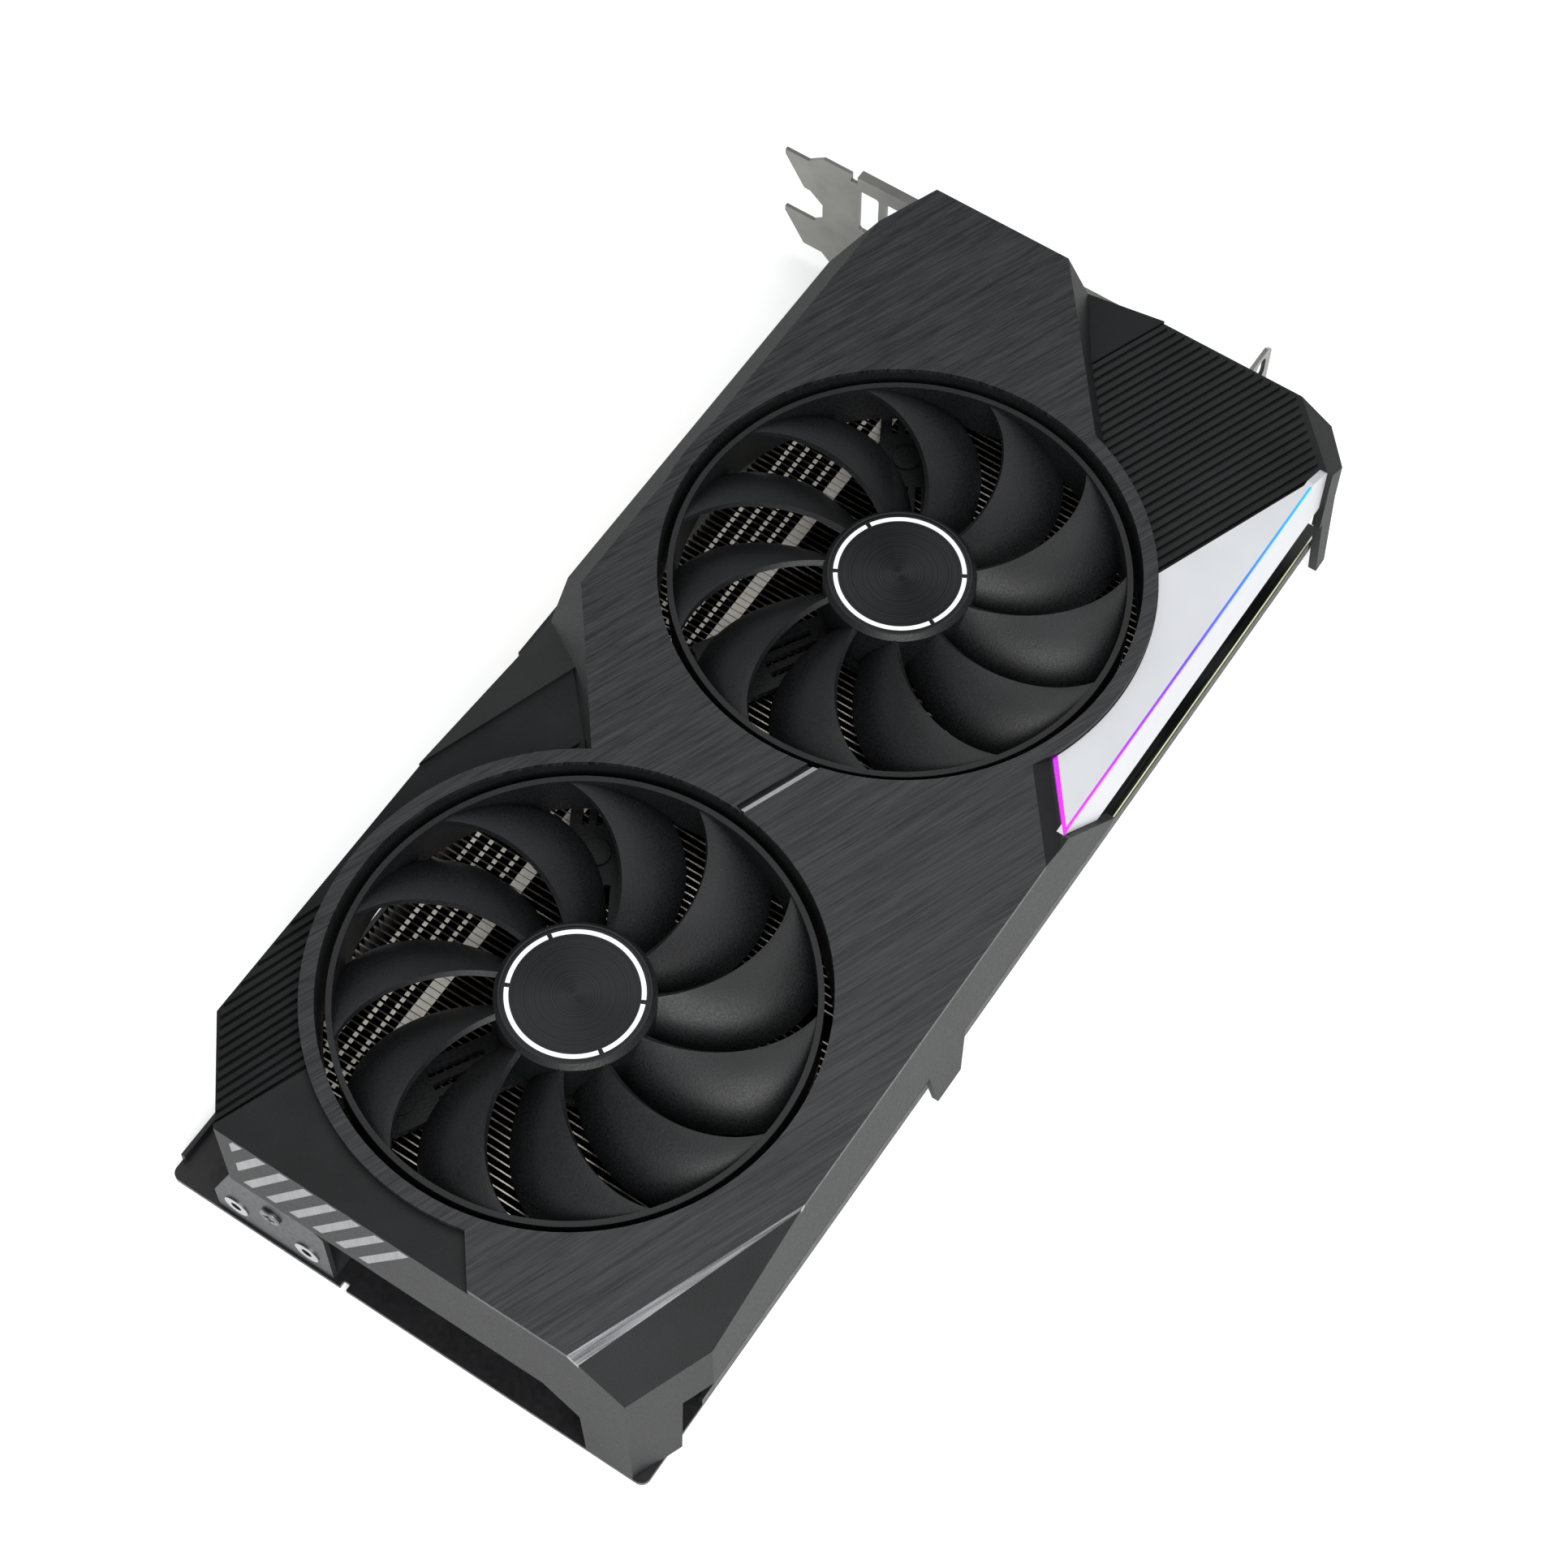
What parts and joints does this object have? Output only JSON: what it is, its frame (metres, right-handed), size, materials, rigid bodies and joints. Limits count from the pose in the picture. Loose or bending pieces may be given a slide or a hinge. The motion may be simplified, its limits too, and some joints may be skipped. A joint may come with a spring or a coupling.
{
  "type": "graphics card",
  "caption": "Dual-fan graphics card with a faceted ribbed shroud, swept-blade ringed rotors, slanted light panel, finned heat-pipe cooler, board, backplate and slot bracket.",
  "frame": {"origin": "centre of the footprint on the backplate's outer face", "axes": "+X from the bracket to the tail, +Y from the edge contacts to the top edge, +Z from the backplate to the fans"},
  "size_m": [0.2788, 0.1494, 0.0522],
  "materials": {
    "shroud_black": "moulded, fine grain",
    "brushed_plate": "brushed, dark anodised",
    "light_diffuser": "frosted grey",
    "light_guide": "clear, lit from inside",
    "silver_trim": "satin silver",
    "fan_black": "moulded, satin",
    "label_film": "printed film, plain",
    "shaft_steel": "ground",
    "magnet": "sintered",
    "copper": "bare copper",
    "bearing_brass": "bare",
    "screw_black": "black zinc",
    "fin_aluminium": "bare sheet",
    "board_laminate": "black solder mask",
    "silicon": "polished",
    "chip_black": "moulded",
    "capacitor_can": "satin can",
    "pad_grey": "soft pad",
    "contact_gold": "plated",
    "socket_black": "moulded",
    "socket_shell": "plated shell",
    "bracket_steel": "bright plated steel",
    "backplate_black": "black coat"
  },
  "bodies": {
    "card": {"backplate": "backplate_black", "backplate_screws": "screw_black", "board": "board_laminate", "brace_screw": "screw_black", "bracket_screws": "screw_black", "capacitors": "capacitor_can", "centre_trim": "silver_trim", "chokes": "chip_black", "cold_plate": "copper", "cross_bracket": "backplate_black", "display_sockets": "socket_shell", "edge_contacts": "contact_gold", "face_plate": "brushed_plate", "fan_headers": "socket_black", "fan_screws": "screw_black", "front_fan_bearings": "bearing_brass", "front_fan_frame": "fan_black", "front_fins": "fin_aluminium", "front_motor_coils": "copper", "front_stator": "magnet", "gpu_die": "silicon", "gpu_package": "board_laminate", "heat_pipes": "copper", "io_bracket": "bracket_steel", "light_guide": "light_guide", "light_panel": "light_diffuser", "memory_chips": "chip_black", "memory_pads": "pad_grey", "power_pins": "contact_gold", "power_socket": "socket_black", "power_stages": "chip_black", "rear_fan_bearings": "bearing_brass", "rear_fan_frame": "fan_black", "rear_fins": "fin_aluminium", "rear_motor_coils": "copper", "rear_stator": "magnet", "shroud": "shroud_black", "silver_strip": "silver_trim", "socket_tongues": "socket_black", "spreader_plate": "fin_aluminium", "spring_screws": "screw_black", "tail_brace": "backplate_black", "tail_stripes": "silver_trim", "threaded_inserts": "bearing_brass"},
    "front_rotor": {"front_rotor": "fan_black", "front_hub_label": "label_film", "front_fan_shaft": "shaft_steel", "front_magnet_ring": "magnet"},
    "rear_rotor": {"rear_rotor": "fan_black", "rear_hub_label": "label_film", "rear_fan_shaft": "shaft_steel", "rear_magnet_ring": "magnet"}
  },
  "joints": [
    {"name": "front_fan_spin", "type": "hinge", "parent": "card", "child": "front_rotor", "pos_m": [-0.03765, 0.01325, 0.05], "axis": [0, 0, 1], "continuous": true},
    {"name": "rear_fan_spin", "type": "hinge", "parent": "card", "child": "rear_rotor", "pos_m": [0.07805, 0.01325, 0.05], "axis": [0, 0, 1], "continuous": true}
  ]
}
